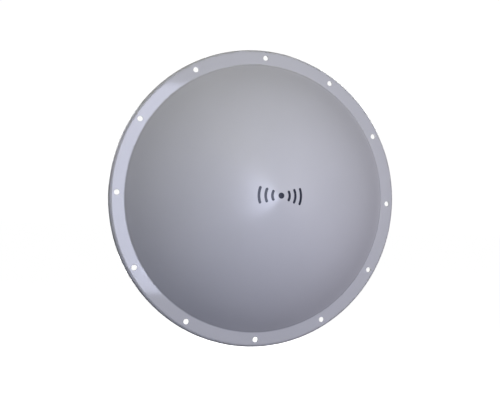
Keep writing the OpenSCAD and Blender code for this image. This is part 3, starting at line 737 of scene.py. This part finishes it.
# An upright panel beside the camera, which the flange and the dome's tip mirror, and a core that
# only adds to what they mirror. Each has its middle, width, height, colour, power, and whether
# it adds diffuse light.
PANELS = {
    "panel": ((-0.12, -1.56, 0.055), 0.42, 0.89, (0.75, 0.785, 1.0), 7.6, True),
    "panel_core": ((-0.01, -1.55, -0.06), 0.20, 0.50, (0.70, 0.76, 1.0), 1.7, False),
}
# Lights for the back, which the front of the dome doesn't see: middle, size and power.
BACK_TARGET = Vector((0, -0.1, 0))
BACK_LIGHTS = {
    "back_left": ((-2.0, 1.5, 1.0), 1.8, 44),
    "back_right": ((1.9, 1.9, 1.4), 1.8, 40),
    "back_low": ((0.2, 2.0, -0.7), 1.2, 14),
    "back_fill": ((0.1, 2.8, 0.5), 2.6, 40),
}
BACKDROP_GLOW = 1.02
FLOOR_GLOW = 1.0
FLOOR_Z = -1.0
FLOOR_SIZE = 30


def area_light(name, middle, target, size, colour, power):
    """A light that the camera doesn't see: round if its two sizes are the same."""
    data = bpy.data.lights.new(name, "AREA")
    data.shape = "ELLIPSE" if size[0] == size[1] else "RECTANGLE"
    data.size, data.size_y = size
    data.color = colour
    data.energy = power
    light = bpy.data.objects.new(name, data)
    facing = (target - middle).to_track_quat("-Z", "Y").to_matrix().to_4x4()
    light.matrix_world = Matrix.Translation(middle) @ facing
    light.visible_camera = False
    scene.collection.objects.link(light)
    return light


def make_lights():
    tip = Vector((0, FACE.y - DOME_H, 0))
    for name, (azimuth, elevation, colour, power) in SOFTBOXES.items():
        a = math.radians(azimuth)
        e = math.radians(elevation)
        out = Vector((math.sin(a) * math.cos(e), -math.cos(a) * math.cos(e), math.sin(e)))
        size = (SOFTBOX_D, SOFTBOX_D)
        softbox = area_light(name, tip + SOFTBOX_AWAY * out, tip, size, colour, power)
        softbox.visible_glossy = False
    for name, (middle, width, height, colour, power, diffuse) in PANELS.items():
        ahead = Vector(middle) + Vector((0, 1, 0))
        panel = area_light(name, Vector(middle), ahead, (width, height), colour, power)
        panel.visible_diffuse = diffuse
    for name, (middle, size, power) in BACK_LIGHTS.items():
        area_light(name, Vector(middle), BACK_TARGET, (size, size), (1, 1, 1), power)


def make_world():
    """White to the camera, and dark to all else, so that only the lights light the object."""
    world = bpy.data.worlds.new("studio")
    world.use_nodes = True
    scene.world = world
    tree = world.node_tree
    output = tree.nodes["World Output"]
    dark = tree.nodes["Background"]
    dark.inputs["Strength"].default_value = 0
    backdrop = tree.nodes.new("ShaderNodeBackground")
    backdrop.inputs["Color"].default_value = (1, 1, 1, 1)
    backdrop.inputs["Strength"].default_value = BACKDROP_GLOW
    path = tree.nodes.new("ShaderNodeLightPath")
    mix = tree.nodes.new("ShaderNodeMixShader")
    tree.links.new(path.outputs["Is Camera Ray"], mix.inputs["Fac"])
    tree.links.new(dark.outputs["Background"], mix.inputs[1])
    tree.links.new(backdrop.outputs["Background"], mix.inputs[2])
    tree.links.new(mix.outputs["Shader"], output.inputs["Surface"])


def make_floor():
    """A plain pale floor that only the camera sees, so that it adds no light from below."""
    look = Look("studio_floor", IOR=1.3)
    look.colour(look.mixed(look.noise(2, 3), (0.83, 0.83, 0.83), (0.87, 0.87, 0.87)))
    look.roughness(look.between(look.noise(12, 3), 0.8, 0.9))
    look.shader.inputs["Emission Color"].default_value = (1, 1, 1, 1)
    look.shader.inputs["Emission Strength"].default_value = FLOOR_GLOW
    bm = bmesh.new()
    bmesh.ops.create_grid(bm, x_segments=8, y_segments=8, size=FLOOR_SIZE)
    floor = new_piece("floor", bm)
    floor.location.z = FLOOR_Z
    floor.visible_diffuse = False
    floor.visible_glossy = False
    dress(floor, look.material)


# Building ------------------------------------------------------------------------------------

# The first three are replaced by pieces made here, and the mark is too thin a film to be rounded.
NOT_ROUNDED = ("radome_shell", "reflector", "jack_rod", "emblem")

materials = {make.__name__: make() for make in LOOKS}
for part in record["subparts"]:
    name = part["node"]
    node = nodes[name]
    dress(node, materials[part["material_slot"]])
    for polygon in node.data.polygons:
        polygon.use_smooth = True
    if name not in NOT_ROUNDED:
        round_edges(node, EDGE_WIDTHS.get(name, SMALL_EDGE))

dress(make_radome(), materials["radome_plastic"])
dress(make_reflector(), materials["reflector_paint"])
dress(make_jack_rod(), materials["stainless_steel"])

make_camera()
make_lights()
make_world()
make_floor()
scene.view_settings.view_transform = "Standard"
